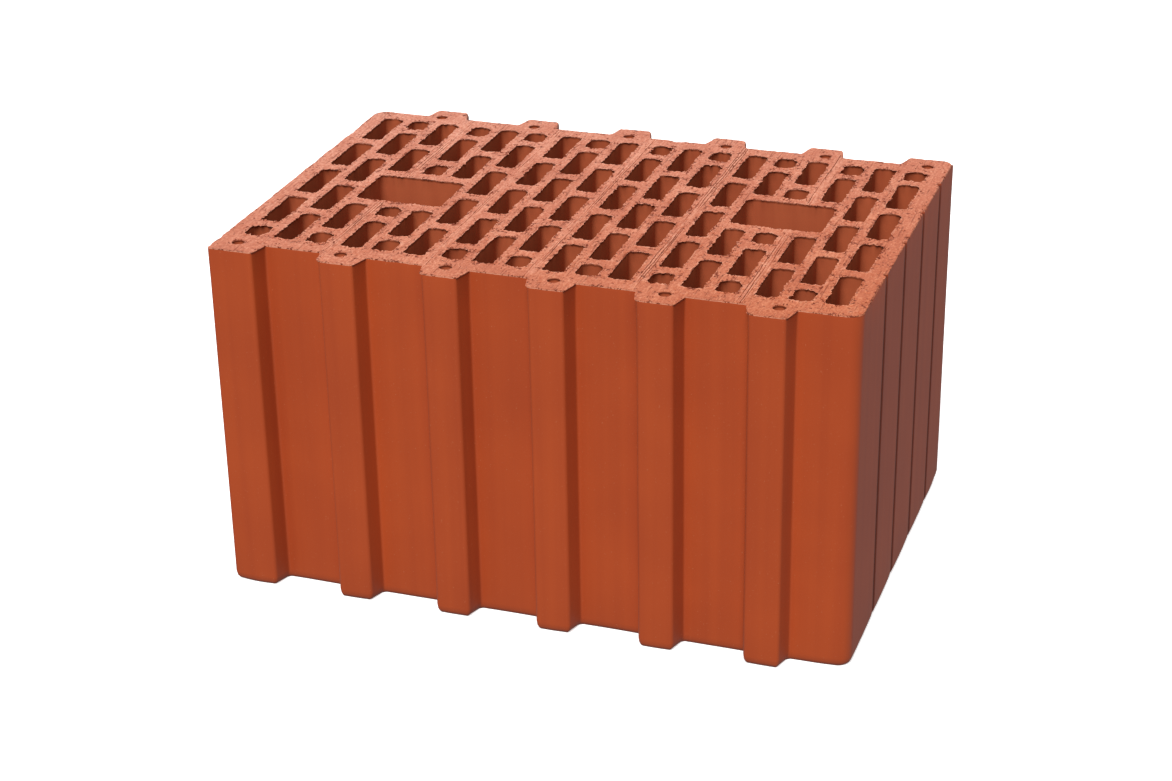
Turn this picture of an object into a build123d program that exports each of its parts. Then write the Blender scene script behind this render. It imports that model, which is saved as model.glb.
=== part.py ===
from build123d import *
import os

# A large-format hollow clay block: extruded through one die, cut to height with wires and fired as one piece.
# X runs across the wall, Y along the wall and Z up, with the origin in the middle of the underside.
# Apart from the rounding of two corners, the section comes onto itself by a half turn about Z. Millimetres.

# The block as it is laid, end to end without mortar in the upright joints
wall_thickness = 380.0
laying_length = 250.0
block_height = 219.0
joint_play = 2.0

# Tongues of the two joint faces, each row starting with a tongue that is flush with an end face
tongues_per_face = 6
first_tongue_inset = 17.3
tongue_depth = 12.5
tongue_tip_width = 20.6
tongue_flank_run = 3.2
tongue_edge_radius = 2.5
tongue_root_radius = 1.5
groove_corner_radius = 8.0
front_corner_radius = 2.0
back_corner_radius = 7.0

# Small round holes at the roots of the tongues
tongue_hole_diameter = 6.5
tongue_hole_setback = 13.0
tongue_hole_spread = 1.4

# Columns of cells across the wall, in groups with thicker webs between them
column_groups = 6
columns_per_group = 3
end_shell = 10.45
column_web = 5.6
group_web = 8.7

# Cells of one column: a short one at one joint face, then long ones to the other joint face
long_cells_per_column = 4
joint_shell = 11.5
short_cell_length = 17.4
short_cell_web = 6.0
cross_web = 7.0
cell_corner_radius = 1.2

# Hand holes: each takes the place of one row of cells over a few columns
grip_first_column = 2
grip_columns = 3
cells_before_grip_count = 2
grip_corner_radius = 3.0

# Upright grooves of the end faces, one by each cross web of the outer column, set towards the tongue corner
end_groove_mouth = 5.0
end_groove_floor = 2.0
end_groove_depth = 2.0
end_groove_offset = 4.0

# Sizes that follow from these
body_depth = laying_length - joint_play - tongue_depth
groove_plane = body_depth / 2
tip_plane = groove_plane + tongue_depth
end_plane = wall_thickness / 2
# Half a pitch is left over at the end, which puts the tongues of one face opposite the grooves of the other
tongue_pitch = (wall_thickness - 2 * first_tongue_inset) / (tongues_per_face - 1 / 2)
first_tongue_x = -end_plane + first_tongue_inset
tongue_row_middle = first_tongue_x + (tongues_per_face - 1) * tongue_pitch / 2
# The holes lie a little further apart than the tongues
tongue_hole_pitch = tongue_pitch + tongue_hole_spread

column_count = column_groups * columns_per_group
inner_webs = column_groups * (columns_per_group - 1) * column_web + (column_groups - 1) * group_web
cell_width = (wall_thickness - 2 * end_shell - inner_webs) / column_count
column_webs_along = short_cell_web + (long_cells_per_column - 1) * cross_web
long_cells_along = body_depth - 2 * joint_shell - short_cell_length - column_webs_along
long_cell_length = long_cells_along / long_cells_per_column


def column_centre(column):
    group = column // columns_per_group
    thin_webs = column - group
    left_edge = -end_plane + end_shell + column * cell_width + thin_webs * column_web + group * group_web
    return left_edge + cell_width / 2


def column_spans(column):
    # Front and back ends of the cells of one column, from the joint face with the short cell
    start = -groove_plane + joint_shell
    spans = [(start, start + short_cell_length)]
    start += short_cell_length + short_cell_web
    for row in range(long_cells_per_column):
        spans.append((start, start + long_cell_length))
        start += long_cell_length + cross_web
    # Every second column is turned end for end, so that the cross webs are staggered
    if column % 2:
        spans = [(-high, -low) for low, high in reversed(spans)]
    return spans


def clear_of_grip(span, grip):
    # A cell inside the hand hole goes, and one cut by its edge keeps the stretch up to a web beside it
    low, high = span
    grip_low, grip_high = grip
    if high <= grip_low or low >= grip_high:
        return [span]
    if low < grip_low:
        return [(low, grip_low - short_cell_web)]
    if high > grip_high:
        return [(grip_high + cross_web, high)]
    return []


def opening(left, right, span, radius):
    low, high = span
    middle = Location(((left + right) / 2, (low + high) / 2))
    return middle * RectangleRounded(right - left, high - low, radius)


def cells():
    grip_last_column = grip_first_column + grip_columns - 1
    grip = column_spans(grip_first_column)[cells_before_grip_count]
    grip_left = column_centre(grip_first_column) - cell_width / 2
    grip_right = column_centre(grip_last_column) + cell_width / 2
    found = [opening(grip_left, grip_right, grip, grip_corner_radius)]
    for column in range(column_count // 2):
        left = column_centre(column) - cell_width / 2
        right = column_centre(column) + cell_width / 2
        for span in column_spans(column):
            kept = [span]
            if grip_first_column <= column <= grip_last_column:
                kept = clear_of_grip(span, grip)
            for cell in kept:
                found.append(opening(left, right, cell, cell_corner_radius))
    # The other half of the block has the same cells by a half turn
    return found + [Rot(Z=180) * cell for cell in found]


def tongue_holes():
    found = []
    for number in range(tongues_per_face):
        from_middle = (number - (tongues_per_face - 1) / 2) * tongue_hole_pitch
        x = tongue_row_middle + from_middle
        y = -tip_plane + tongue_hole_setback
        for side in (1, -1):
            found.append(Location((side * x, side * y)) * Circle(tongue_hole_diameter / 2))
    return found


def half_outline(corner_radius):
    # Corners with their radii, along the front joint face from the left and up the right end face
    tip = tongue_tip_width / 2
    root = tip + tongue_flank_run
    corners = [(-end_plane, -tip_plane, corner_radius)]
    for number in range(tongues_per_face):
        middle = first_tongue_x + number * tongue_pitch
        if number:
            corners.append((middle - root, -groove_plane, tongue_root_radius))
            corners.append((middle - tip, -tip_plane, tongue_edge_radius))
        corners.append((middle + tip, -tip_plane, tongue_edge_radius))
        corners.append((middle + root, -groove_plane, tongue_root_radius))
    corners.append((end_plane, -groove_plane, groove_corner_radius))
    spans = column_spans(column_count - 1)
    for nearer, farther in zip(spans, spans[1:]):
        middle = (nearer[1] + farther[0]) / 2 + end_groove_offset
        corners.append((end_plane, middle - end_groove_mouth / 2, 0))
        corners.append((end_plane - end_groove_depth, middle - end_groove_floor / 2, 0))
        corners.append((end_plane - end_groove_depth, middle + end_groove_floor / 2, 0))
        corners.append((end_plane, middle + end_groove_mouth / 2, 0))
    return corners


def outline():
    corners = half_outline(front_corner_radius)
    corners += [(-x, -y, radius) for x, y, radius in half_outline(back_corner_radius)]
    points = [(x, y) for x, y, radius in corners]
    radii = [radius for x, y, radius in corners]
    return make_face(FilletPolyline(*points, radius=radii, close=True))


section = outline() - cells() - tongue_holes()
clay_block = extrude(section, block_height)

os.makedirs("parts", exist_ok=True)
export_step(clay_block, "parts/clay_block.step")
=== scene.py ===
import bmesh
import bpy
import math
import numpy as np
from mathutils import Matrix, Vector, geometry, kdtree, noise


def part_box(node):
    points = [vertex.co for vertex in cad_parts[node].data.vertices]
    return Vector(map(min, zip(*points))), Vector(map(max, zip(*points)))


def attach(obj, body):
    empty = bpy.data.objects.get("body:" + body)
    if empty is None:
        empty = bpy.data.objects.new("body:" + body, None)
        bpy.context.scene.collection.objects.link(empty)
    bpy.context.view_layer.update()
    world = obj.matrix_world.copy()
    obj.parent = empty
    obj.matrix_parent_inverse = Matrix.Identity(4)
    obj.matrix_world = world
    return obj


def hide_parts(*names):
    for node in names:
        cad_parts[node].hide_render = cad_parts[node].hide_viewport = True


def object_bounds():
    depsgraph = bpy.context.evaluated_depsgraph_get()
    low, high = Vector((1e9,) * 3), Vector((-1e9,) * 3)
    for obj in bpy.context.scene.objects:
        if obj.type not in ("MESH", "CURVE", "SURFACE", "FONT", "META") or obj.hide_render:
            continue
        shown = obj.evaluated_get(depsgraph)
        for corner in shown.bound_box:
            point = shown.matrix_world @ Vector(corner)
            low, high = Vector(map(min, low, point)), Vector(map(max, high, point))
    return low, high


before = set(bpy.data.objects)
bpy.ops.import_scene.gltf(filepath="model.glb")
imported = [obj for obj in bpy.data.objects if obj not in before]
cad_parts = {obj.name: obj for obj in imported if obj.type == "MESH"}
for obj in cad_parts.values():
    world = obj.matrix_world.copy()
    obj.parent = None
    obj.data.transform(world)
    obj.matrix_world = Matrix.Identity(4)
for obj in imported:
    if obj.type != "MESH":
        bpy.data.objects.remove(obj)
cad_low, cad_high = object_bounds()


# Clay block, its section
# The block is one piece of clay, pushed through a die as a long bar with its cells, cut to height with
# wires and fired. Its section comes from the frame: the rims of the outline and of every opening, as the
# die made them.
mm = 0.001
outline_step = 1.5
opening_step = 0.8
level_play = 0.1
narrowest_cell = 9.0
block_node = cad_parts["clay_block"]
block_height = (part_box("clay_block")[1].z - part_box("clay_block")[0].z) / mm
box_low = np.array(cad_low[:2]) / mm
box_high = np.array(cad_high[:2]) / mm


def top_rims(mesh):
    # Closed rings of points, in millimetres, with the clay on the left of each, the outline first
    top = max(corner.co.z for corner in mesh.vertices)
    ahead = {}
    for face in mesh.polygons:
        corners = [mesh.vertices[number].co for number in face.vertices]
        if min(corner.z for corner in corners) < top - level_play * mm:
            continue
        ring = [(round(corner.x / mm, 3), round(corner.y / mm, 3)) for corner in corners]
        # An edge that two faces share is dropped, so the rims are left
        for start, end in zip(ring, ring[1:] + ring[:1]):
            if start in ahead.get(end, []):
                ahead[end].remove(start)
            else:
                ahead.setdefault(start, []).append(end)
    ahead = {start: ends[0] for start, ends in ahead.items() if ends}
    rings = []
    while ahead:
        point = next(iter(ahead))
        ring = []
        while point in ahead:
            ring.append(point)
            point = ahead.pop(point)
        ring = np.array(ring)
        first = np.lexsort((ring[:, 1].round(1), ring[:, 0].round(1)))[0]
        rings.append(np.roll(ring, -first, axis=0))
    rings.sort(key=lambda ring: tuple(ring[0].round(1)))
    rings.sort(key=lambda ring: np.ptp(ring[:, 0]) < (box_high - box_low)[0] / 2)
    return rings


def divided(ring, step):
    # The same ring with its corners kept and short steps between them
    points = []
    for start, end in zip(ring, np.roll(ring, -1, axis=0)):
        steps = math.ceil(np.linalg.norm(end - start) / step)
        points += [start + (end - start) * number / steps for number in range(steps)]
    return np.array(points)


def evenly_spaced(ring, step):
    # The same ring with an even number of steps of one length
    closed = np.vstack((ring, ring[:1]))
    along = np.concatenate(([0], np.cumsum(np.linalg.norm(np.diff(closed, axis=0), axis=1))))
    count = 2 * round(along[-1] / step / 2)
    stations = np.arange(count) * along[-1] / count
    return np.column_stack([np.interp(stations, along, closed[:, axis]) for axis in (0, 1)])


def clay_side(ring):
    # Unit directions into the clay, at the points of a ring
    after = np.roll(ring, -1, axis=0) - ring
    after /= np.linalg.norm(after, axis=1)[:, None]
    along = after + np.roll(after, 1, axis=0)
    along /= np.linalg.norm(along, axis=1)[:, None]
    return np.column_stack((-along[:, 1], along[:, 0]))


rims = top_rims(block_node.data)
rims = [divided(rims[0], outline_step)] + [evenly_spaced(ring, opening_step) for ring in rims[1:]]
rim_points = np.concatenate(rims)
rim_sides = np.concatenate([clay_side(ring) for ring in rims])
rim_owner = np.concatenate([np.full(len(ring), number) for number, ring in enumerate(rims)])
rim_starts = np.cumsum([0] + [len(ring) for ring in rims])
rim_next = np.concatenate([start + np.roll(np.arange(len(ring)), -1)
                           for start, ring in zip(rim_starts, rims)])
ring_low = np.array([ring.min(axis=0) for ring in rims])[rim_owner]
ring_high = np.array([ring.max(axis=0) for ring in rims])[rim_owner]
is_opening = rim_owner > 0
is_cell = is_opening & ((ring_high - ring_low).min(axis=1) > narrowest_cell)
is_hole = is_opening & ~is_cell


# Clay block, its upper rims
# The wire drags the wet clay along. It leaves a torn lip over every opening, smears the corners of the
# cells round, pulls the clay over the flanks of the tongues and breaks small bits off the edges of the
# end and back faces.
draw = np.random.default_rng(11)
smear_reach, smear_power = 6.5, 2.2
smear_length, smear_length_share = 8.0, 0.45
back_smear, front_smear = 2.5, 1.1
smear_sway_share = 0.7
short_cell, short_cell_share = 20, 1.5
front_pull_share, right_pull_share, left_pull_share, back_pull_share = 1.2, 0.85, 0.9, 1.4
patch_share, patch_limit_shares = 0.9, (0.5, 1.5)
fine_tooth, coarse_tooth = 0.9, 0.7
crumb_share, crumb_sizes = 0.03, (0.3, 0.8)
lip_middle, lip_limits = 0.4, (-0.3, 1.7)
hole_chip = 0.5
front_depth, corner_width = 14, 5
end_face_turn, flank_turn = 0.99, 0.7
wave_middle, bite_start, chip_start = 0.5, 0.2, 0.35
edge_wear, front_bite, side_wave, side_bite = 0.1, 0.3, 0.8, 0.6
right_flank_lip, left_flank_lip, left_flank_tooth_share = 0.9, 1.0, 0.6
opening_chip, front_chip, side_chip = 0.8, 0.6, 2.0
cell_rim_fall, other_rim_fall = 0.1, 0.35
cell_rim_wear, other_rim_wear = 0.7, 0.3
shallowest_groove, deepest_groove, grooves_half_span = 0.1, 3, 100
closed_groove_depth = 0.4


def rough(points, lump, seed):
    # Smooth noise from -1 to 1, with lumps of a size in millimetres, or of one size in X and one in Y
    lump = np.broadcast_to(lump, 2)
    return np.array([noise.noise((x / lump[0], y / lump[1], seed)) for x, y in points])


# Corners of the cells, smeared further at the back of a cell than at its front
cell_length = (ring_high - ring_low)[:, 1]
smear_zone = np.minimum(smear_length, smear_length_share * cell_length)
to_side = np.minimum(rim_points[:, 0] - ring_low[:, 0], ring_high[:, 0] - rim_points[:, 0])
beside = np.clip(1 - to_side / smear_reach, 0, 1) ** smear_power
at_back = np.clip(1 - (ring_high[:, 1] - rim_points[:, 1]) / smear_zone, 0, 1) ** 2
at_front = np.clip(1 - (rim_points[:, 1] - ring_low[:, 1]) / smear_zone, 0, 1) ** 2
uneven = 1 + smear_sway_share * rough(rim_points, lump=9, seed=33.3)
short_share = np.where(cell_length < short_cell, short_cell_share, 1.0)
smear = np.zeros(rim_points.shape)
smear[:, 1] = is_cell * short_share * beside * uneven * (front_smear * at_front - back_smear * at_back)

# Lips of the cells, pulled over them with torn teeth, and small holes broken a little wider
toward = np.clip(np.column_stack((rim_sides, -rim_sides)), 0, None) ** 2
pull = toward @ (right_pull_share, back_pull_share, left_pull_share, front_pull_share)
patchy = np.clip(1 + patch_share * rough(rim_points, lump=40, seed=30.3), *patch_limit_shares)
teeth = fine_tooth * rough(rim_points, lump=1.4, seed=31.3)
teeth += coarse_tooth * rough(rim_points, lump=3.3, seed=32.3)
crumbs = (draw.random(len(rim_points)) < crumb_share) * draw.uniform(*crumb_sizes, len(rim_points))
cell_lip = pull * patchy * np.clip(lip_middle + teeth + crumbs, *lip_limits)
hole_lip = -hole_chip - hole_chip * np.abs(teeth)

# The outer edge: crisp along the front, broken and wavy along the ends and the back
is_front = ~is_opening & (rim_points[:, 1] < rim_points[:, 1].min() + front_depth)
is_front &= np.abs(rim_sides[:, 0]) < end_face_turn
is_right_flank = is_front & (rim_sides[:, 0] < -flank_turn)
is_left_flank = is_front & (rim_sides[:, 0] > flank_turn)
is_left_flank &= rim_points[:, 0] > rim_points[:, 0].min() + corner_width
waves = np.clip(wave_middle + rough(rim_points, lump=15, seed=34.3), 0, 1)
bites = np.clip(rough(rim_points, lump=4, seed=35.3) - bite_start, 0, 1)
side_broken = edge_wear + side_wave * waves + side_bite * bites
broken = np.where(is_front, edge_wear + front_bite * bites, side_broken)
left_lip = left_flank_lip + left_flank_tooth_share * teeth
outer_lip = np.select([is_right_flank, is_left_flank], [right_flank_lip, left_lip], -broken)

lip = np.select([is_cell, is_hole], [cell_lip, hole_lip], outer_lip)
upper_rim = np.clip(rim_points + smear - rim_sides * lip[:, None], box_low, box_high)
chip_depth = np.select([is_opening, is_front], [opening_chip, front_chip], side_chip)
chips = chip_depth * np.clip(rough(rim_points, lump=5, seed=36.3) - chip_start, 0, 1)
wear = np.where(is_cell, cell_rim_wear, other_rim_wear) * np.abs(rough(rim_points, lump=2.2, seed=37.3))
rim_depth = np.where(is_cell, cell_rim_fall, other_rim_fall) + wear + chips

# The wire closes the narrow grooves of the left end face at the top
from_end = box_high[0] - np.abs(rim_points[:, 0])
in_groove = ~is_opening & (from_end > shallowest_groove) & (from_end < deepest_groove)
in_groove &= np.abs(rim_points[:, 1]) < grooves_half_span
closed = in_groove & (rim_points[:, 0] < 0)
upper_rim[closed, 0] = box_low[0] + closed_groove_depth
upper_rings = np.split(upper_rim, rim_starts[1:-1])


# Clay block, its upper bed
# The wire tears the clay open: grains stand up, stones leave pits, the lips fold away from the bed, and
# the seams where the clay flowed together behind the die's bridges show as fine lines along the thick
# webs.
bed_step, bed_rim_gap, bed_line_gap = 1.45, 0.55, 0.6
bed_fall, lump_fall, drag_fall, grain_fall = 0.5, 0.15, 0.17, 0.05
pit_share, pit_falls = 0.03, (0.3, 0.9)
long_cell, widest_cell_share, thick_web_share = 30, 1.5, 1.2
seam_offsets = (-1.6, 0.1, 1.5)
seam_width, seam_fall, seam_lip = 0.7, 0.85, 0.1
seam_step, seam_rim_gap = 1.2, 1.0
seam_wander, seam_jitter = 0.9, 0.2
seam_strength_share, seam_fade_share = 0.45, 1.5
web_noise_gap, seam_noise_share = 37, 11
fold_gap, fold_sway_share, fold_clearance = 1.0, 0.6, 0.5
fold_fall, fold_strength_share, fold_fade_share = 0.95, 0.15, 1.4
line_bed_share = 0.6


def inside(points, ring):
    # Which points lie inside a closed ring
    found = np.zeros(len(points), bool)
    for (x0, y0), (x1, y1) in zip(ring, np.roll(ring, -1, axis=0)):
        crossed = (y0 > points[:, 1]) != (y1 > points[:, 1])
        if crossed.any():
            crossing = x0 + (points[crossed, 1] - y0) * (x1 - x0) / (y1 - y0)
            found[crossed] ^= points[crossed, 0] < crossing
    return found


def search_tree(points):
    tree = kdtree.KDTree(len(points))
    for number, (x, y) in enumerate(points):
        tree.insert((x, y, 0), number)
    tree.balance()
    return tree


def distance_to(tree, points):
    return np.array([tree.find((x, y, 0))[2] for x, y in points])


def in_clay(points, rings, margin):
    # Which points lie on the clay and keep a margin from every rim
    found = inside(points, rings[0])
    for ring in rings[1:]:
        in_box = ((points > ring.min(axis=0)) & (points < ring.max(axis=0))).all(axis=1)
        near = np.flatnonzero(in_box)
        found[near] &= ~inside(points[near], ring)
    found[found] = distance_to(search_tree(np.concatenate(rings)), points[found]) > margin
    return found


def jittered_grid(step):
    # Points of a grid of triangles over the whole block, each moved a little
    columns = np.arange(box_low[0], box_high[0], step)
    rows = np.arange(box_low[1], box_high[1], step * math.sqrt(3) / 2)
    grid_x, grid_y = np.meshgrid(columns, rows)
    grid_x[1::2] += step / 2
    grid = np.column_stack((grid_x.ravel(), grid_y.ravel()))
    return grid + draw.uniform(-step / 4, step / 4, grid.shape)


def thick_webs():
    # Middles of the wider webs between the columns of cells
    boxes = [(ring[:, 0].min(), ring[:, 0].max(), np.ptp(ring[:, 1])) for ring in rims[1:]]
    narrow = min(right - left for left, right, length in boxes if length > long_cell)
    columns = sorted({(left.round(1), right.round(1)) for left, right, length in boxes
                      if length > long_cell and right - left < narrow * widest_cell_share})
    webs = [(before[1], after[0]) for before, after in zip(columns, columns[1:])]
    usual = np.median([right - left for left, right in webs])
    return [(left + right) / 2 for left, right in webs if right - left > thick_web_share * usual]


def torn_fall(points, seed):
    # How far the torn face lies below the wire's plane, before the seams and folds
    lumps = rough(points, lump=7, seed=seed)
    drag = rough(points, lump=(1.5, 5), seed=seed + 1)
    grain = draw.normal(0, grain_fall, len(points))
    pits = (draw.random(len(points)) < pit_share) * draw.uniform(*pit_falls, len(points))
    return np.clip(bed_fall + lump_fall * lumps + drag_fall * drag + grain, 0, None) + pits


# Each seam is a middle row of points with one row at each lip, and takes its own stretch of the noise
seam_rows = []
seam_falls = []
for number, web in enumerate(thick_webs()):
    for offset in seam_offsets:
        along = np.arange(box_low[1], box_high[1], seam_step)
        stretch = number * web_noise_gap + offset * seam_noise_share
        place = np.column_stack((np.full(len(along), stretch), along))
        wander = seam_wander * rough(place, lump=30, seed=3.1)
        middle = web + offset + wander + seam_jitter * rough(place, lump=6, seed=4.1)
        strength = np.clip(seam_strength_share + seam_fade_share * rough(place, lump=45, seed=5.3), 0, 1)
        for shift, fall in ((-seam_width / 2, -seam_lip), (0, seam_fall), (seam_width / 2, -seam_lip)):
            seam_rows.append(np.column_stack((middle + shift, along)))
            seam_falls.append(strength * fall)
seam_points = np.concatenate(seam_rows)
seam_falls = np.concatenate(seam_falls)
on_clay = in_clay(seam_points, upper_rings, seam_rim_gap)
seam_points = seam_points[on_clay]
seam_falls = seam_falls[on_clay]

# Each fold is a broken row of points behind the lip of a cell
folded = np.flatnonzero(is_cell)[::2]
fold_gaps = fold_gap * (1 + fold_sway_share * rough(rim_points[folded], lump=4, seed=38.3))
fold_points = upper_rim[folded] + rim_sides[folded] * fold_gaps[:, None]
fold_points = fold_points[in_clay(fold_points, upper_rings, fold_clearance)]
fold_points = fold_points[distance_to(search_tree(seam_points), fold_points) > fold_clearance]
strength = np.clip(fold_strength_share + fold_fade_share * rough(fold_points, lump=6, seed=39.3), 0, 1)
fold_falls = fold_fall * strength

line_points = np.concatenate((seam_points, fold_points))
line_falls = np.concatenate((seam_falls, fold_falls))
grid_points = jittered_grid(bed_step)
grid_points = grid_points[in_clay(grid_points, upper_rings, bed_rim_gap)]
grid_points = grid_points[distance_to(search_tree(line_points), grid_points) > bed_line_gap]
bed_points = np.concatenate((line_points, grid_points))
bed_depth = torn_fall(bed_points, seed=20.5)
line_depth = line_bed_share * bed_depth[:len(line_points)] + line_falls
bed_depth[:len(line_points)] = np.clip(line_depth, 0, None)


# Clay block, its sides and lower bed
# The die leaves the upright faces smooth. The lower edges are pressed round by the carrier that the soft
# block stood on, and the lower bed is torn by the wire like the upper one.
WIRE_CUT, EXTRUDED, CELL_WALL = 0, 1, 2
lip_height, smear_height = 0.7, 9.0
wall_top_drop = 3 * lip_height
lip_smear_share, wall_smear_share, lip_overhang_share = 0.9, 0.5, 0.35
hole_lip_shade, cell_lip_shade, flank_lip_shade, front_lip_shade, side_lip_shade = 1.25, 0.7, 0.8, 0.0, 0.3
right_groove_shade, left_groove_shade, wall_top_shade_share = 1.0, 0.4, 0.9
groove_shade_start, groove_shade_reach = 1.3, 2.0
worn_radius, sharp_radius = 7.0, 2.0
wall_sway, sway_across, sway_upright = 0.14, 70, 60
sway_height_shares = (0.9, 0.66, 0.4, 0.15)
turning_least, turning_most = 0.3, 0.98
tongue_edge_depth, block_corner_width = 5, 8
face_press, opening_press, press_sway_share = 1.5, 0.35, 0.4
tongue_edge_press, tongue_edge_reach = 1.3, 5
block_corner_press, block_corner_reach = 2.0, 7
press_evening_rounds = 24
pressed_heights_and_shares = ((5.5, 0.04), (2.6, 0.22), (1.0, 0.58), (0.25, 0.88))
lower_rim_shade = 0.4
lower_bed_step, lower_rim_gap = 2.8, 1.5
join_distance = 1e-6
gap_sides = 8
crack_reach = 3.0
crease_angle = math.radians(42)

vertices = []
depths_and_painted_shades = []
faces = []
finishes = []


def add_points(places, heights, depth):
    start = sum(len(part) for part in vertices)
    vertices.append(np.column_stack((places, np.broadcast_to(heights, len(places)))))
    depths_and_painted_shades.append(np.broadcast_to(depth, len(places)))
    return start + np.arange(len(places))


def add_row(members, places, heights, depth=0.0):
    # A row of points that only some rim points have, numbered like the rim points
    heights = np.broadcast_to(heights, len(rim_points))
    numbers = np.full(len(rim_points), -1)
    numbers[members] = add_points(places[members], heights[members], depth)
    return numbers


def add_faces(corners, finish):
    faces.extend(corners.tolist())
    finishes.extend([finish] * len(corners))


def add_strip(upper, lower, members, ahead, finish):
    add_faces(np.column_stack((upper[members], lower[members], lower[ahead], upper[ahead])), finish)


def clay_between(rings, loose):
    # Triangles over the clay, numbered through the rings and then the loose points
    places = np.concatenate((*rings, loose))
    edges = []
    for ring in rings:
        first = len(edges)
        edges += [(first + number, first + (number + 1) % len(ring)) for number in range(len(ring))]
    made = geometry.delaunay_2d_cdt([Vector(place) for place in places], edges, [], 0, join_distance)
    # A point that was added where two edges cross stands for the nearest given one
    tree = search_tree(places)
    source = np.array([numbers[0] if numbers else tree.find((*place, 0))[1]
                       for place, numbers in zip(made[0], made[3])])
    found = source[np.array(made[2])]
    found = found[(found != np.roll(found, 1, axis=1)).all(axis=1)]
    # A triangle with its corners on one ring may lie in the opening or outside the block
    owner = np.repeat(np.arange(len(rings) + 1), [len(ring) for ring in (*rings, loose)])[found]
    on_one_ring = (owner == owner[:, :1]).all(axis=1)
    kept = np.ones(len(found), bool)
    for number, ring in enumerate(rings):
        of_ring = np.flatnonzero(on_one_ring & (owner[:, 0] == number))
        within = inside(places[found[of_ring]].mean(axis=1), ring)
        kept[of_ring] = within if number == 0 else ~within
    return found[kept]


every = np.arange(len(rim_points))
outer = every[~is_opening]
inner = every[is_opening]
halved = inner[(inner - rim_starts[rim_owner[inner]]) % 2 == 0]
between = rim_next[halved]
after = rim_next[between]

# Painted shade in the end grooves, lighter on the left end
from_groove = distance_to(search_tree(rim_points[in_groove]), rim_points)
groove_shade = np.where(rim_points[:, 0] > 0, right_groove_shade, left_groove_shade)
groove_shade = groove_shade * np.clip(groove_shade_start - from_groove / groove_shade_reach, 0, 1)
groove_shade[is_opening] = 0

# The back right corner is worn round at its top only
corner_inset = worn_radius - (box_high - rim_points)
is_worn = ~is_opening & (corner_inset > 0).all(axis=1)
wall_points = rim_points.copy()
wall_points[is_worn] = box_high - sharp_radius + corner_inset[is_worn] * sharp_radius / worn_radius

# Rims, lips and the tops of the walls, with painted shade on the clay under most lips, darkest in the
# small holes
upper_z = block_height - rim_depth
overhang = rim_sides * (lip_overhang_share * lip)[:, None]
lip_places = np.clip(rim_points + lip_smear_share * smear - overhang, box_low, box_high)
lip_shade = np.select([is_hole, is_cell, is_right_flank, is_front],
                      [hole_lip_shade, cell_lip_shade, flank_lip_shade, front_lip_shade], side_lip_shade)
wall_places = wall_points + wall_smear_share * smear
rim_row = add_row(every, upper_rim, upper_z, rim_depth)
lip_row = add_row(every, lip_places, upper_z - lip_height, lip_shade)
wall_row = add_row(every, wall_places, upper_z - wall_top_drop, wall_top_shade_share * groove_shade)
add_strip(rim_row, lip_row, every, rim_next, WIRE_CUT)
add_strip(lip_row, wall_row, outer, rim_next[outer], EXTRUDED)
add_strip(lip_row, wall_row, inner, rim_next[inner], CELL_WALL)

# The lower rims are pressed in, further at the edges of the tongues and at the corners of the block, and
# evened out along the outline so that they don't fold over
turning = np.abs(rim_sides[:, 0])
is_turning = ~is_opening & (turning > turning_least) & (turning < turning_most)
is_tongue_edge = is_turning & (np.abs(rim_points[:, 1]) > box_high[1] - tongue_edge_depth)
is_block_corner = is_turning & (np.abs(rim_points[:, 0]) > box_high[0] - block_corner_width)
from_edge = distance_to(search_tree(rim_points[is_tongue_edge]), rim_points)
from_corner = distance_to(search_tree(rim_points[is_block_corner]), rim_points)
pressed = face_press + tongue_edge_press * np.clip(1 - from_edge / tongue_edge_reach, 0, 1)
pressed += block_corner_press * np.clip(1 - from_corner / block_corner_reach, 0, 1)
pressed[is_opening] = opening_press
pressed *= 1 + press_sway_share * rough(rim_points, lump=8, seed=41.7)
inset = rim_sides * pressed[:, None]
for _ in range(press_evening_rounds):
    ring = inset[outer]
    inset[outer] = (np.roll(ring, 1, axis=0) + ring + np.roll(ring, -1, axis=0)) / 3
lower_rim = wall_points + inset

# Walls of the openings, from the smear down with every second point
below = add_row(halved, rim_points, block_height - smear_height)
lowest = np.concatenate((outer, halved))
# The lowest row carries painted shade along the outer lower edge
last = add_row(lowest, lower_rim, 0.0, lower_rim_shade * ~is_opening[lowest])
add_faces(np.column_stack((wall_row[halved], below[halved], wall_row[between])), CELL_WALL)
add_faces(np.column_stack((wall_row[between], below[halved], below[after], wall_row[after])), CELL_WALL)
add_strip(below, last, halved, after, CELL_WALL)

# Outer faces: a little out of true, with rounded lower edges, and painted shade in the end grooves and
# along the lower edge, growing towards the floor
above = wall_row
for share in sway_height_shares:
    height = block_height * share
    sway = wall_sway * (1 + rough(rim_points, lump=sway_across, seed=height / sway_upright))
    below = add_row(outer, wall_points + rim_sides * sway[:, None], height, groove_shade[outer])
    add_strip(above, below, outer, rim_next[outer], EXTRUDED)
    above = below
for height, share in pressed_heights_and_shares:
    shade = np.maximum(groove_shade, share ** 2)[outer]
    below = add_row(outer, wall_points + share * inset, height, shade)
    add_strip(above, below, outer, rim_next[outer], EXTRUDED)
    above = below
add_strip(above, last, outer, rim_next[outer], EXTRUDED)

# The two beds
bed_numbers = add_points(bed_points, block_height - bed_depth, bed_depth)
numbering = np.concatenate((rim_row, bed_numbers))
add_faces(numbering[clay_between(upper_rings, bed_points)], WIRE_CUT)

outer_ring, *opening_rings = np.split(lower_rim, rim_starts[1:-1])
lower_rings = [outer_ring] + [ring[::2] for ring in opening_rings]
lower_points = jittered_grid(lower_bed_step)
lower_points = lower_points[in_clay(lower_points, lower_rings, lower_rim_gap)]
lower_depth = torn_fall(lower_points, seed=50.5)
lower_numbers = add_points(lower_points, lower_depth, lower_depth)
numbering = np.concatenate((last[outer], last[halved], lower_numbers))
add_faces(numbering[clay_between(lower_rings, lower_points)][:, ::-1], WIRE_CUT)

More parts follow.
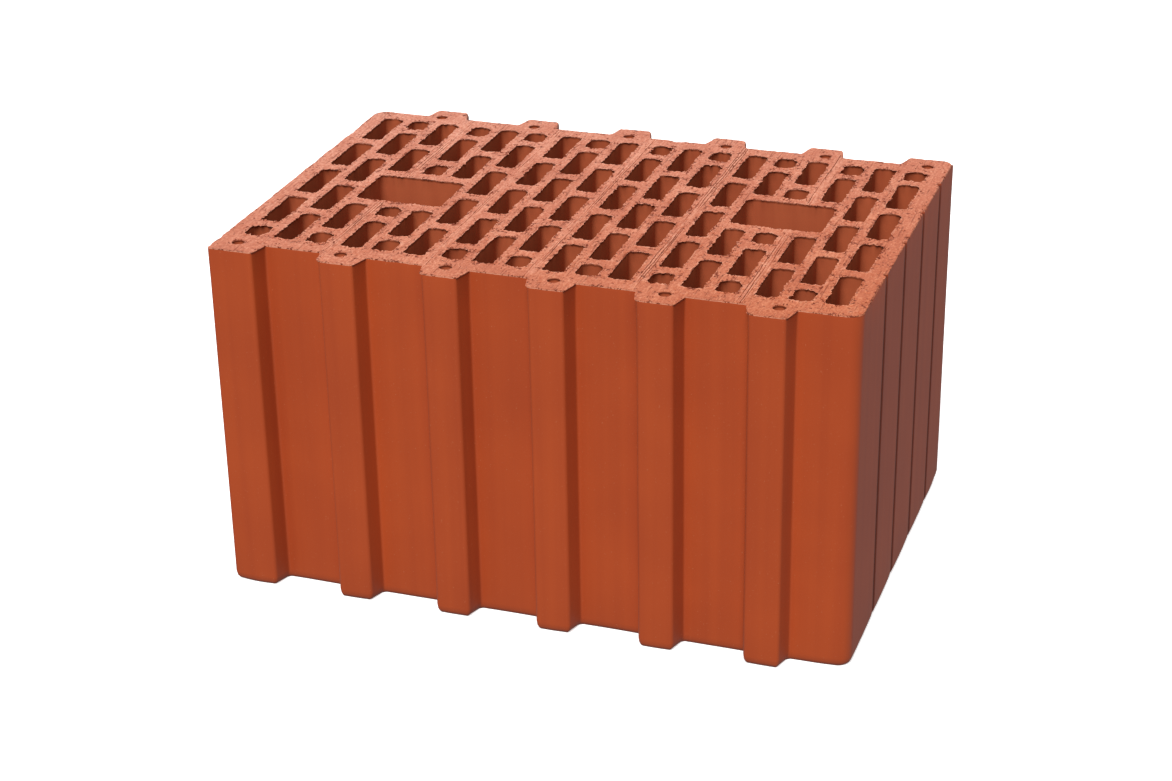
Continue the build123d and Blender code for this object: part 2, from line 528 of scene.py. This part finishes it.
block_points = np.concatenate(vertices)
block_mesh = bpy.data.meshes.new("fired_clay_block")
block_mesh.from_pydata((block_points * mm).tolist(), [], faces)
block_mesh.polygons.foreach_set("material_index", finishes)

# Torn rims that cross leave small gaps in the beds, which are closed
shell = bmesh.new()
shell.from_mesh(block_mesh)
open_edges = [edge for edge in shell.edges if edge.is_boundary]
bmesh.ops.holes_fill(shell, edges=open_edges, sides=gap_sides)
shell.to_mesh(block_mesh)
shell.free()
block_mesh.polygons.foreach_set("use_smooth", [True] * len(block_mesh.polygons))
block_mesh.set_sharp_from_angle(angle=crease_angle)

# What the finishes need to know of each point: its depth or painted shade, and how near it is to a rim
depth_or_painted_shade = block_mesh.attributes.new("depth_or_painted_shade", "FLOAT", "POINT")
depth_or_painted_shade.data.foreach_set("value", np.concatenate(depths_and_painted_shades).astype(np.float32))
from_rim = distance_to(search_tree(rim_points), block_points[:, :2])
near_rim = block_mesh.attributes.new("near_rim", "FLOAT", "POINT")
near_rim.data.foreach_set("value", np.clip(1 - from_rim / crack_reach, 0, 1).astype(np.float32))
block = bpy.data.objects.new("fired_clay_block", block_mesh)
bpy.context.collection.objects.link(block)


# Clay block, its finishes
# Fired red clay is a matt, open-pored ceramic. Where the die pressed it, it has a dense orange-brown skin;
# where the wire tore it, it is paler and pinkish, with grains, pores and dark seams. The clay's real grit
# is finer than half a millimetre, so grit and grain are drawn coarser than that, to show.
grit_size, band_width, cloud_size = 0.9, 9, 60
grain_size, streak_width, patch_size = 1.3, 1.8, 30
crack_size, crack_patch_size, score_width = 2.2, 3.5, 1.0
skin_relief, torn_relief = 0.2, 0.5
upright_stretch = (1, 1, 0.015)
drawn_stretch = (1, 0.5, 1)
lengthwise_stretch = (1, 0.05, 1)
tint_slopes = (1.32, -1.92, 0)
# The shaded colour is painted shade on the die-pressed faces
pale_speck, shaded_clay = "#B5603A", "#521E0F"
# The dark colour also serves painted shade in pits, seams and folds; the pale one also serves painted
# highlights on high edges
pale_burr_and_highlight, dark_crack_and_shade = "#EBAC90", "#70260A"
clay_ior = 1.5


def linear(colour):
    # An sRGB hex colour as linear red, green, blue and alpha
    parts = [int(colour[place:place + 2], 16) / 255 for place in (1, 3, 5)]
    return [part / 12.92 if part <= 0.04045 else ((part + 0.055) / 1.055) ** 2.4 for part in parts] + [1.0]


def add_node(tree, kind, output, inputs, **settings):
    # A new node with its settings, values and links, of which one output is given back
    node = tree.nodes.new("ShaderNode" + kind)
    for name, value in settings.items():
        setattr(node, name, value)
    for socket, value in inputs.items():
        if isinstance(value, bpy.types.NodeSocket):
            tree.links.new(value, node.inputs[socket])
        else:
            node.inputs[socket].default_value = value
    return node.outputs[output]


def new_material(name):
    material = bpy.data.materials.new(name)
    material.use_nodes = True
    tree = material.node_tree
    shader = tree.nodes["Principled BSDF"]
    place = add_node(tree, "TexCoord", "Object", {})
    return material, tree, shader, place


def set_ramp(colours, *stops):
    elements = colours.node.color_ramp.elements
    while len(elements) < len(stops):
        elements.new(0.5)
    for element, (position, colour) in zip(elements, stops):
        element.position = position
        element.color = linear(colour)


def per_metre(size):
    # Texture scale that draws lumps of a size in millimetres
    return 1 / (size * mm)


def die_pressed_clay(name, dark, light, roughness, specular, sheen):
    # An even colour with broad, faint upright bands and a few pale specks, with painted shade in the end
    # grooves, under the lips and along the lower edge
    material, tree, shader, place = new_material(name)
    shade = add_node(tree, "Attribute", "Fac", {}, attribute_name="depth_or_painted_shade")
    upright = add_node(tree, "Mapping", "Vector", {"Vector": place, "Scale": upright_stretch})
    band = add_node(tree, "TexNoise", "Fac",
                    {"Vector": upright, "Scale": per_metre(band_width), "Detail": 3.0})
    cloud = add_node(tree, "TexNoise", "Fac",
                     {"Vector": place, "Scale": per_metre(cloud_size), "Detail": 2.0})
    grit = add_node(tree, "TexNoise", "Fac",
                    {"Vector": place, "Scale": per_metre(grit_size), "Detail": 2.0})
    tone = add_node(tree, "Mix", "Result", {"Factor": 0.5, "A": band, "B": cloud})
    shades = add_node(tree, "ValToRGB", "Color", {"Fac": tone})
    set_ramp(shades, (0.36, dark), (0.64, light))
    speck = add_node(tree, "MapRange", "Result", {"Value": grit, "From Min": 0.70, "From Max": 0.76})
    specked = add_node(tree, "Mix", "Result", {"Factor": speck, "A": shades, "B": linear(pale_speck)},
                       data_type="RGBA")
    shaded = add_node(tree, "Mix", "Result", {"Factor": shade, "A": specked, "B": linear(shaded_clay)},
                      data_type="RGBA")
    relief = add_node(tree, "Math", "Value", {0: band, 1: grit}, operation="ADD")
    bump = add_node(tree, "Bump", "Normal",
                    {"Height": relief, "Strength": 0.2, "Distance": skin_relief * mm})
    tree.links.new(shaded, shader.inputs["Base Color"])
    tree.links.new(bump, shader.inputs["Normal"])
    shader.inputs["Roughness"].default_value = roughness
    shader.inputs["IOR"].default_value = clay_ior
    shader.inputs["Specular IOR Level"].default_value = specular
    shader.inputs["Sheen Weight"].default_value = sheen
    return material


# The outer skin, pressed dense by the die, has a dull sheen. The walls of the cells, which the die's cores
# leave paler and rougher, have none
skin = die_pressed_clay("fired_clay_extruded", "#A33D0C", "#AD4410",
                        roughness=0.58, specular=0.5, sheen=0.02)
cell_wall = die_pressed_clay("fired_clay_cell_wall", "#A45134", "#AE5939",
                             roughness=0.9, specular=0.03, sheen=0.0)

# The torn face is pinkish orange, a little drawn out along the wire's way, and dark in the short cracks
# between crumbs, with painted shade by depth in pores, pits, seams, folds and the torn rims of the holes.
# It is pale where burrs stand up, partly the burrs' own colour and partly a painted highlight on high
# edges
torn, tree, shader, place = new_material("fired_clay_wire_cut")
deep_or_shaded = add_node(tree, "Attribute", "Fac", {}, attribute_name="depth_or_painted_shade")
near = add_node(tree, "Attribute", "Fac", {}, attribute_name="near_rim")
drawn_out = add_node(tree, "Mapping", "Vector", {"Vector": place, "Scale": drawn_stretch})
lengthwise = add_node(tree, "Mapping", "Vector", {"Vector": place, "Scale": lengthwise_stretch})
grain = add_node(tree, "TexNoise", "Fac",
                 {"Vector": drawn_out, "Scale": per_metre(grain_size), "Detail": 3.0})
streak = add_node(tree, "TexNoise", "Fac",
                  {"Vector": lengthwise, "Scale": per_metre(streak_width), "Detail": 2.0})
patch = add_node(tree, "TexNoise", "Fac",
                 {"Vector": place, "Scale": per_metre(patch_size), "Detail": 3.0})
drawn = add_node(tree, "Mix", "Result", {"Factor": 0.25, "A": grain, "B": streak})
tone = add_node(tree, "Mix", "Result", {"Factor": 0.25, "A": drawn, "B": patch})

# Paler and pinker towards the back left corner, redder towards the front right one
tint_position = add_node(tree, "VectorMath", "Value", {0: place, 1: tint_slopes}, operation="DOT_PRODUCT")
tint_share = add_node(tree, "MapRange", "Result", {"Value": tint_position, "From Min": -0.5, "From Max": 0.5})
paler = add_node(tree, "ValToRGB", "Color", {"Fac": tone})
set_ramp(paler, (0.36, "#B36B54"), (0.5, "#C47D66"), (0.64, "#D99B85"))
redder = add_node(tree, "ValToRGB", "Color", {"Fac": tone})
set_ramp(redder, (0.36, "#A45132"), (0.5, "#B45F3D"), (0.64, "#C87852"))
shades = add_node(tree, "Mix", "Result", {"Factor": tint_share, "A": paler, "B": redder}, data_type="RGBA")
# Pale where the face stands high: partly the burrs' own colour, partly a painted highlight on high edges
# and rims
raised_pale_and_highlight = add_node(tree, "MapRange", "Result",
                  {"Value": deep_or_shaded, "From Min": 0.4, "From Max": 0.0, "To Max": 0.6})
pale = add_node(tree, "Mix", "Result", {"Factor": raised_pale_and_highlight, "A": shades, "B": linear(pale_burr_and_highlight)},
                data_type="RGBA")
painted_hollow_shade = add_node(tree, "MapRange", "Result", {"Value": deep_or_shaded, "From Min": 0.75, "From Max": 1.4})

# Cracks follow the level lines of a noise, where a second noise lets them show, more of them near a rim
levels = add_node(tree, "TexNoise", "Fac",
                  {"Vector": drawn_out, "Scale": per_metre(crack_size), "Detail": 1.0})
level = add_node(tree, "Math", "Value", {0: levels, 1: 0.5}, operation="SUBTRACT")
from_line = add_node(tree, "Math", "Value", {0: level}, operation="ABSOLUTE")
line = add_node(tree, "MapRange", "Result", {"Value": from_line, "From Min": 0.07, "From Max": 0.03})
spread = add_node(tree, "TexNoise", "Fac",
                  {"Vector": place, "Scale": per_metre(crack_patch_size), "Detail": 1.0})
chance = add_node(tree, "Math", "Value", {0: near, 1: 0.16, 2: spread}, operation="MULTIPLY_ADD")
shown = add_node(tree, "MapRange", "Result",
                 {"Value": chance, "From Min": 0.61, "From Max": 0.71, "To Max": 0.95})
crack = add_node(tree, "Math", "Value", {0: line, 1: shown}, operation="MULTIPLY")

# Fine dark scores run along the wire's way
scores = add_node(tree, "TexNoise", "Fac",
                  {"Vector": lengthwise, "Scale": per_metre(score_width), "Detail": 2.0})
score = add_node(tree, "MapRange", "Result",
                 {"Value": scores, "From Min": 0.62, "From Max": 0.72, "To Max": 0.6})
dark = add_node(tree, "Math", "Value", {0: painted_hollow_shade, 1: crack}, operation="MAXIMUM")
darker = add_node(tree, "Math", "Value", {0: dark, 1: score}, operation="MAXIMUM")
ground = add_node(tree, "Mix", "Result", {"Factor": darker, "A": pale, "B": linear(dark_crack_and_shade)},
                  data_type="RGBA")
relief = add_node(tree, "Math", "Value", {0: tone, 1: darker}, operation="SUBTRACT")
bump = add_node(tree, "Bump", "Normal", {"Height": relief, "Strength": 0.6, "Distance": torn_relief * mm})
tree.links.new(ground, shader.inputs["Base Color"])
tree.links.new(bump, shader.inputs["Normal"])
shader.inputs["Roughness"].default_value = 0.85
shader.inputs["IOR"].default_value = clay_ior
shader.inputs["Specular IOR Level"].default_value = 0.3

block_mesh.materials.append(torn)
block_mesh.materials.append(skin)
block_mesh.materials.append(cell_wall)
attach(block, "root")
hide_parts("clay_block")


# Floor
# A plain white sheet that the block stands on, lit a little from below so that it stays white. It sends no
# light back up, as in a studio with the floor masked off, so the side away from the lamp stays dark.
floor_half = 5.0
floor_gap = 0.2
fibre_patch_size = 400
floor_mesh = bpy.data.meshes.new("floor")
floor_corners = [(-floor_half, -floor_half, 0), (floor_half, -floor_half, 0),
                 (floor_half, floor_half, 0), (-floor_half, floor_half, 0)]
floor_mesh.from_pydata(floor_corners, [], [(0, 1, 2, 3)])
floor = bpy.data.objects.new("floor", floor_mesh)
floor.location.z = -floor_gap * mm
bpy.context.collection.objects.link(floor)

# Matt paper: an even white with hardly any change of tone
paper, tree, shader, place = new_material("matt_white_paper")
fibre = add_node(tree, "TexNoise", "Fac",
                 {"Vector": place, "Scale": per_metre(fibre_patch_size), "Detail": 2.0})
whites = add_node(tree, "ValToRGB", "Color", {"Fac": fibre})
set_ramp(whites, (0.0, "#F2F2F1"), (1.0, "#F8F8F7"))
tree.links.new(whites, shader.inputs["Base Color"])
shader.inputs["Roughness"].default_value = 0.9
shader.inputs["Emission Color"].default_value = linear("#FFFFFF")
shader.inputs["Emission Strength"].default_value = 0.45
floor_mesh.materials.append(paper)
floor.visible_diffuse = False
floor.visible_glossy = False


# Light
# One broad soft lamp in front and above, a weak one behind on the left, and even light from all round,
# as in a studio with white screens.
def add_lamp(name, towards, strength, spread):
    lamp_data = bpy.data.lights.new(name, "SUN")
    lamp_data.energy = strength
    lamp_data.angle = math.radians(spread)
    lamp = bpy.data.objects.new(name, lamp_data)
    lamp.rotation_mode = "QUATERNION"
    lamp.rotation_quaternion = Vector(towards).to_track_quat("Z", "Y")
    bpy.context.collection.objects.link(lamp)


add_lamp("soft_front_lamp", towards=(0.06, -0.62, 0.78), strength=3.6, spread=30)
add_lamp("weak_back_lamp", towards=(-0.55, 0.75, 0.35), strength=1.4, spread=60)
world = bpy.data.worlds.new("even_light")
bpy.context.scene.world = world
world.use_nodes = True
background = world.node_tree.nodes["Background"]
background.inputs["Color"].default_value = linear("#FCFDFF")
background.inputs["Strength"].default_value = 0.34


# Camera
# A long lens, in front of the block on its right and above it. Its place and turn follow the block's
# edges in the photograph.
image_width_pixels = 1172
focal_length_pixels = 2434.0
camera_place = (0.4428, -1.2775, 0.7438)
azimuth, elevation, roll = (math.radians(angle) for angle in (19.40, 25.63, -0.946))
camera_data = bpy.data.cameras.new("camera")
camera_data.sensor_width = 36.0
camera_data.lens = focal_length_pixels / image_width_pixels * camera_data.sensor_width
camera = bpy.data.objects.new("camera", camera_data)
turn = Matrix.Rotation(azimuth, 4, "Z") @ Matrix.Rotation(math.pi / 2 - elevation, 4, "X")
camera.matrix_world = Matrix.Translation(camera_place) @ turn @ Matrix.Rotation(roll, 4, "Z")
bpy.context.collection.objects.link(camera)
bpy.context.scene.camera = camera
bpy.context.scene.view_settings.view_transform = "Standard"
